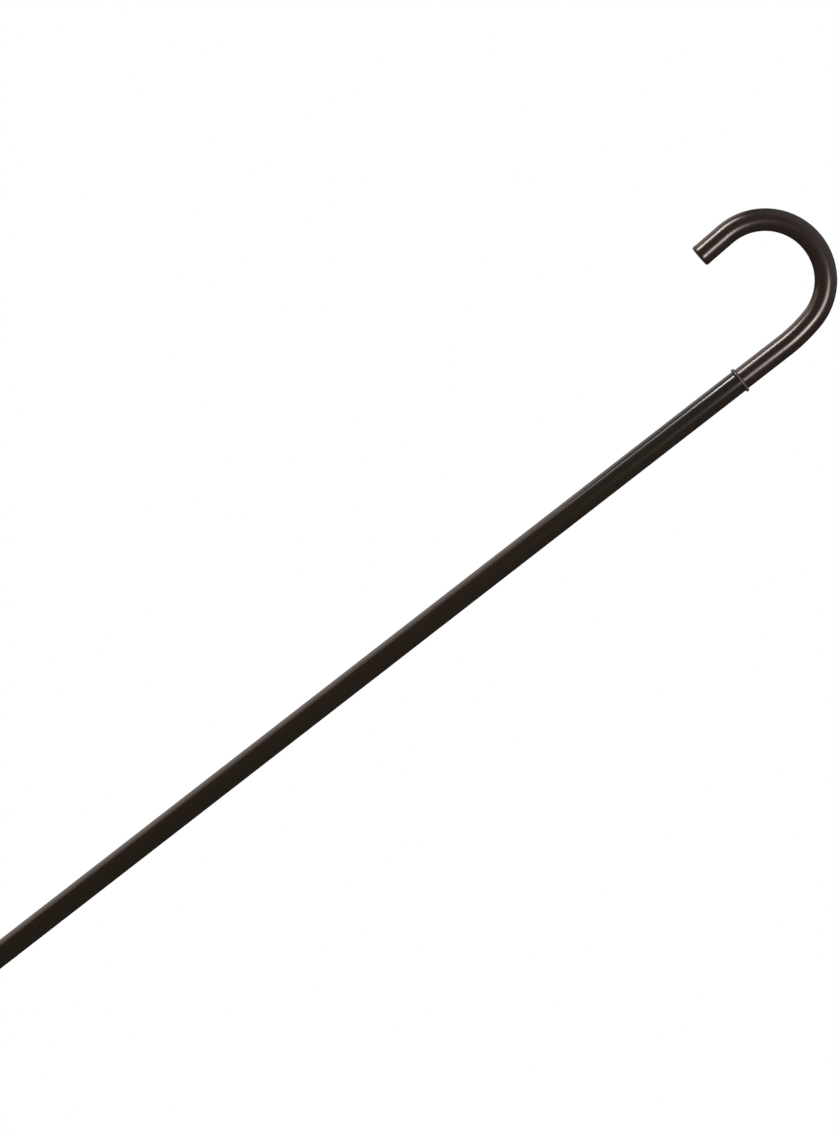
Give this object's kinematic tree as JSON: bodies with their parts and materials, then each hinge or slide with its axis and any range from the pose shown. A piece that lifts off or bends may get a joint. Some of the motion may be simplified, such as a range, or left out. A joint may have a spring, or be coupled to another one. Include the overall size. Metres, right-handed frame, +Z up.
{
  "type": "single point cane",
  "caption": "Walking cane with a round crook handle, a trim collar, a straight tubular shaft and a rubber tip.",
  "frame": {"origin": "middle of the rubber tip's ground face, on the shaft's axis", "axes": "+Z up along the shaft's axis; the crook bends over towards -X; the cane is symmetric about the XZ plane, and the rivets are on its +Y side"},
  "size_m": [0.1266, 0.034, 0.94],
  "materials": {
    "shaft_paint": "glossy very dark brown paint on aluminium",
    "handle_plastic": "satin dark brown moulded plastic",
    "core_metal": "drawn, bare",
    "rivet_metal": "dark brown anodised",
    "tip_rubber": "matt moulded rubber",
    "washer_steel": "zinc plated"
  },
  "bodies": {
    "root": {"handle_sleeve": "handle_plastic", "handle_core_tube": "core_metal", "handle_end_cap": "handle_plastic", "collar_ring": "handle_plastic", "shaft_tube": "shaft_paint", "handle_rivet_1": "rivet_metal", "handle_rivet_2": "rivet_metal", "rubber_tip": "tip_rubber", "tip_washer": "washer_steel"}
  },
  "joints": []
}
